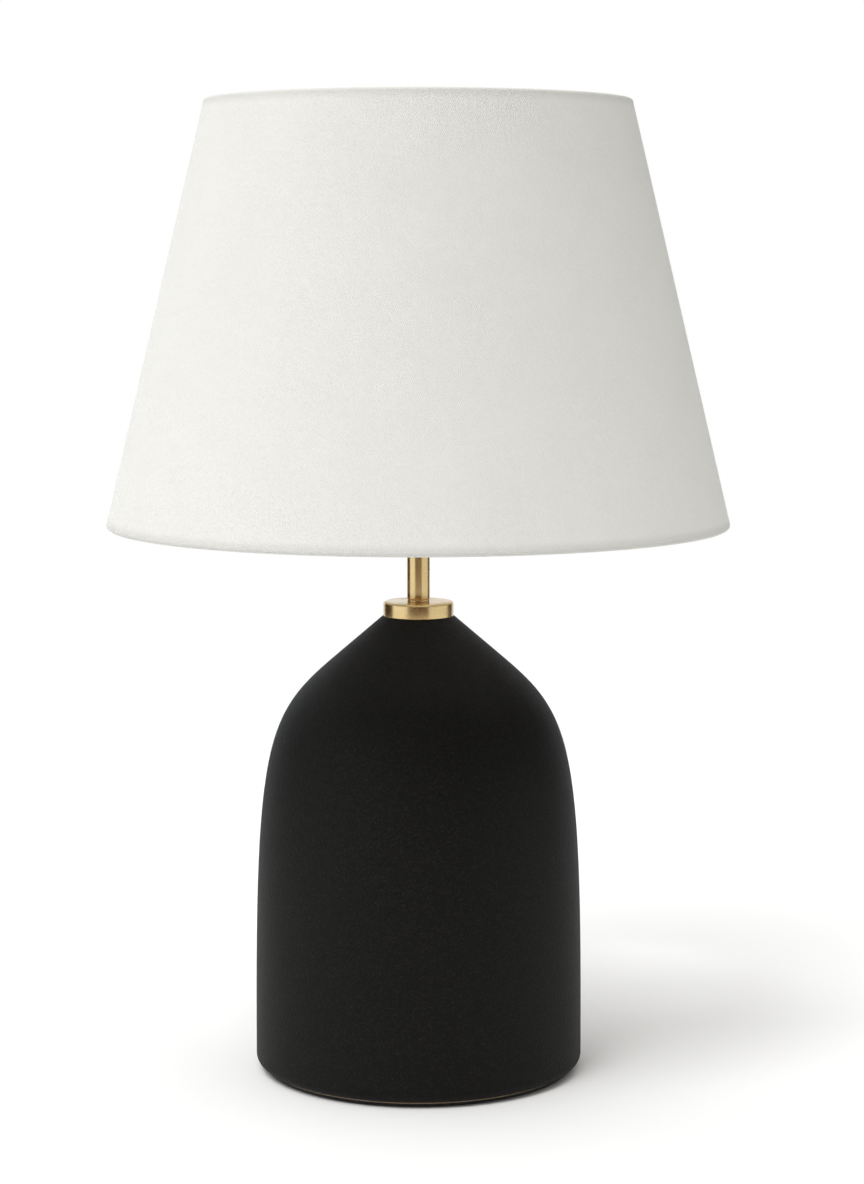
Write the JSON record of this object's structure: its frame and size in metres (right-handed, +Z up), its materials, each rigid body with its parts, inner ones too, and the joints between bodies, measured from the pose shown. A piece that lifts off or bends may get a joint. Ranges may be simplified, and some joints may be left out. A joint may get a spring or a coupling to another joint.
{
  "type": "table lamp with shade",
  "caption": "Table lamp: a matt black domed ceramic body, a brushed brass neck and a white fabric empire shade on a harp, with turn switch and bulb.",
  "frame": {"origin": "centre of the felt pad's underside, where the lamp stands", "axes": "+Z up along the stem, +X to the right, the switch knob faces -Y and the cord inlet faces +Y"},
  "size_m": [0.4056, 0.4056, 0.6359],
  "materials": {
    "ceramic_black": "matt black glaze with a fine sandy speckle",
    "brass_satin": "satin brushed brass",
    "felt_black": "black wool felt",
    "board_brown": "bare hardboard",
    "steel_zinc": "zinc plated steel",
    "rubber_black": "matt black rubber",
    "block_white": "moulded nylon",
    "lead_dark": "dark insulation",
    "lead_pale": "pale insulation",
    "brass_socket": "satin brass sheet",
    "fibre_sleeve": "pressed fibre board",
    "core_dark": "moulded phenolic",
    "shell_alloy": "threaded alloy sheet",
    "contact_brass": "bare brass",
    "knob_dark": "moulded plastic with grip flutes",
    "bulb_frosted": "frosted glass",
    "bulb_cap_metal": "threaded cap",
    "bulb_black_glass": "black insulator",
    "solder_grey": "dull solder",
    "glass_clear": "clear glass",
    "tungsten_grey": "tungsten wire",
    "harp_brass": "brass plated steel wire",
    "linen_white": "fine warm white linen weave",
    "liner_white": "white styrene",
    "wire_white": "white powder coat"
  },
  "bodies": {
    "root": {"felt_pad": "felt_black", "base_plate": "board_brown", "base_nut": "steel_zinc", "lock_washer": "steel_zinc", "flat_washer": "steel_zinc", "ceramic_body": "ceramic_black", "rod_bush": "rubber_black", "cord_bushing": "rubber_black", "threaded_rod": "steel_zinc", "brass_cap": "brass_satin", "neck_ring": "brass_satin", "neck_tube": "brass_satin", "harp_saddle": "harp_brass", "terminal_block": "block_white", "block_clamp_screws": "steel_zinc", "block_fixing_screw": "steel_zinc", "live_lead": "lead_dark", "neutral_lead": "lead_pale", "socket_cap": "brass_socket", "socket_shell": "brass_socket", "insulating_sleeve": "fibre_sleeve", "socket_core": "core_dark", "screw_shell": "shell_alloy", "centre_contact": "contact_brass", "socket_terminal_screws": "contact_brass"},
    "switch": {"switch_shaft": "brass_socket", "switch_knob": "knob_dark"},
    "bulb": {"bulb_glass": "bulb_frosted", "bulb_screw_cap": "bulb_cap_metal", "bulb_insulator": "bulb_black_glass", "bulb_end_contact": "solder_grey", "bulb_stem": "glass_clear", "bulb_filament": "tungsten_grey"},
    "harp": {"harp_frame": "harp_brass"},
    "stud": {"harp_stud": "brass_satin"},
    "sleeve_left": {"sleeve_left": "harp_brass"},
    "sleeve_right": {"sleeve_right": "harp_brass"},
    "shade": {"shade_fabric": "linen_white", "shade_liner": "liner_white", "top_ring": "wire_white", "bottom_ring": "wire_white", "shade_spider": "wire_white"},
    "finial": {"finial": "brass_satin"}
  },
  "joints": [
    {"name": "switch_turn", "type": "hinge", "parent": "root", "child": "switch", "pos_m": [0, -0.02, 0.417], "axis": [0, -1, 0], "continuous": true},
    {"name": "bulb_unscrew", "type": "slide", "parent": "root", "child": "bulb", "axis": [0, 0, 1], "range_m": [0, 0.03]},
    {"name": "harp_lift", "type": "slide", "parent": "root", "child": "harp", "axis": [0, 0, 1], "range_m": [0, 0.02]},
    {"name": "sleeve_left_slide", "type": "slide", "parent": "harp", "child": "sleeve_left", "axis": [0, 0, 1], "range_m": [0, 0.012]},
    {"name": "sleeve_right_slide", "type": "slide", "parent": "harp", "child": "sleeve_right", "axis": [0, 0, 1], "range_m": [0, 0.012]},
    {"name": "stud_swivel", "type": "hinge", "parent": "harp", "child": "stud", "pos_m": [0, 0, 0.6135], "axis": [0, 0, 1], "continuous": true},
    {"name": "shade_lift", "type": "slide", "parent": "stud", "child": "shade", "axis": [0, 0, 1], "range_m": [0, 0.28]},
    {"name": "finial_turn", "type": "hinge", "parent": "shade", "child": "finial", "pos_m": [0, 0, 0.6275], "axis": [0, 0, 1], "continuous": true}
  ]
}
